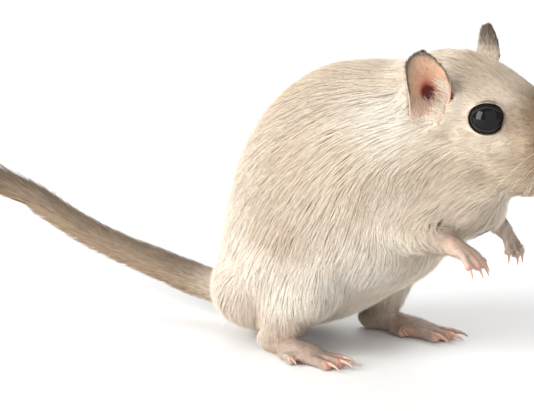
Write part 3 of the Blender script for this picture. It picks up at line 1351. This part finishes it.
# Long hairs of the tail: how many, from and to along -x, around the tail from and to (90 is its top), their
# length at each end, and the least and most degrees that they stand off.
TAIL_HAIRS = {
    "tail_brush": (4600, (86, 127), (0, 360), (5.0, 12.5), (5, 15)),
    "tail_crest": (2200, (52, 104), (30, 150), (3.2, 6.0), (8, 22)),
}


def tail_hairs(name, material):
    """Long hairs along the tail, standing off a little."""
    count, span, around, lengths, stands = TAIL_HAIRS[name]
    rng = np.random.default_rng(SEED + 700 + count)
    line = curve_through(TAIL_LINE, 400)
    x = -rng.uniform(*span, count)
    at = np.searchsorted(-line[:, 0], -x).clip(1, 398)
    centre = line[at]
    along = unit(line[(at + 8).clip(max=399)] - line[at])
    a = np.radians(rng.uniform(*around, count))
    side = unit(np.cross(np.array((0, 0, 1.0)), along))
    up = np.cross(along, side)
    radius = np.interp(-centre[:, 0], (50, 84, 96, 108, 118, 127), (2.4, 2.2, 2.0, 1.5, 1.0, 0.45))
    out = side * np.cos(a)[:, None] + up * np.sin(a)[:, None]
    spot = centre + out * radius[:, None] * 0.8
    grown = smooth_step(-centre[:, 0], span[0], 104)
    long = (lengths[0] + (lengths[1] - lengths[0]) * grown) * rng.uniform(0.65, 1.1, count)
    long = np.minimum(long, np.maximum(TAIL_END + centre[:, 0], 3.0))
    lift = np.radians(rng.uniform(*stands, count)) * (1 + 0.35 * np.sin(a))
    rings = []
    for t in (0, 0.35, 0.7, 1.0):
        reach = along * (long * t * np.cos(lift))[:, None] + out * (long * np.sin(lift) * t**0.8)[:, None]
        rings.append(spot + reach)
    spots = np.stack(rings, 1)
    normals = np.repeat(out[:, None], 4, 1)
    colours = hair_colours(spots[:, 2], rng, 0.9, 1.05, 0.12)
    uv = np.stack([rng.random(count) * 0.04 + 0.955, -centre[:, 0] / 130 * 0.9], 1)
    wide = rng.uniform(0.10, 0.20, count)
    pieces_of(name, spots, normals, wide, colours, uv, material, "tail")


# Stage.


# The lamps: where from, where to, width and height, watts.
LAMPS = {
    "key": ((-0.42, -1.0, 0.46), (0.03, 0, 0.03), (0.75, 1.0), 19.0),
    "back": ((-0.75, 0.95, 0.95), (0.0, 0.1, 0.0), (1.1, 1.1), 11.0),
    "side": ((1.0, -0.6, 0.45), (0.04, 0, 0.03), (1.7, 1.7), 7.0),
}
SKY_LIGHT = 0.52
# The camera: where it stands, its ways to the right and ahead, and its lens.
CAMERA_AT = (0.355241, -0.434355, 0.146196)
CAMERA_RIGHT, CAMERA_AHEAD = (0.788011, 0.615661, 0.0), (-0.602208, 0.770791, -0.207912)
CAMERA_LENS = 166.85


def build_stage():
    bpy.ops.mesh.primitive_plane_add(size=8.0, location=(0.0, 0.0, 0.0))
    floor = bpy.context.active_object
    floor.name = "floor"
    floor.data.materials.append(mottled("floor_white", 0.9, 0.1, 3.0, 2.0, (0.93,) * 3, (0.95,) * 3))


def build_light():
    world = bpy.data.worlds.new("studio")
    bpy.context.scene.world = world
    world.use_nodes = True
    world.node_tree.nodes["Background"].inputs["Color"].default_value = (1, 1, 1, 1)
    world.node_tree.nodes["Background"].inputs["Strength"].default_value = SKY_LIGHT
    for name, (at, towards, size, watts) in LAMPS.items():
        data = bpy.data.lights.new(name, "AREA")
        data.shape, data.energy = "RECTANGLE", watts
        data.size, data.size_y = size
        lamp = linked(name, data)
        lamp.location = at
        lamp.rotation_euler = (Vector(towards) - Vector(at)).to_track_quat("-Z", "Y").to_euler()
    bpy.context.scene.view_settings.view_transform = "Standard"


def build_camera():
    data = bpy.data.cameras.new("camera")
    data.lens, data.sensor_width, data.sensor_fit = CAMERA_LENS, 36.0, "HORIZONTAL"
    data.clip_start, data.clip_end = 0.01, 20.0
    camera = linked("camera", data)
    right, ahead = Vector(CAMERA_RIGHT), Vector(CAMERA_AHEAD)
    turn = Matrix((right, right.cross(ahead), -ahead)).transposed()
    camera.matrix_world = Matrix.Translation(CAMERA_AT) @ turn.to_4x4()
    bpy.context.scene.camera = camera


def dress_claws():
    """Gives the solids' own claws the look of horn."""
    material = mottled("claw_horn", 0.32, 0.5, 900.0, 3.0, (0.36, 0.17, 0.11), (0.62, 0.44, 0.33))
    for name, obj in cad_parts.items():
        if "claw" in name:
            for slot in obj.material_slots:
                slot.material = material
            obj.data.polygons.foreach_set("use_smooth", np.ones(len(obj.data.polygons), bool))


def main():
    build_stage()
    build_light()
    build_camera()
    skin, surface, fields = build_skin()
    unwrap(skin)
    uvs = face_uvs(skin.data)
    add_tint(skin.data, skin_colour(surface, fields))
    skin.data.materials.append(tinted("skin_bare", 0.62, 0.4, 0.08, 700.0, 0.5, 1800.0))
    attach(skin, "root")
    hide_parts(*FLESH, "tail_tuft")
    hair = tinted("hair", 0.62, 0.3, 0.05, 400.0)
    grow_coat(surface, fields, uvs, hair)
    for name in TAIL_HAIRS:
        tail_hairs(name, hair)
    ear_skin = tinted("ear_skin", 0.6, 0.35, 0.06, 900.0, 0.3, 2500.0)
    eye = mottled("eye_dark", 0.13, 0.26, 700.0, 3.0, (0.001, 0.001, 0.0014), (0.005, 0.004, 0.0035))
    for side_name in SIDES:
        build_eye(side_name, eye)
        build_lids(side_name, ear_skin)
        grids = build_ear(side_name, ear_skin)
        ear_hairs(side_name, grids, hair)
    whiskers(hair)
    dress_claws()


main()
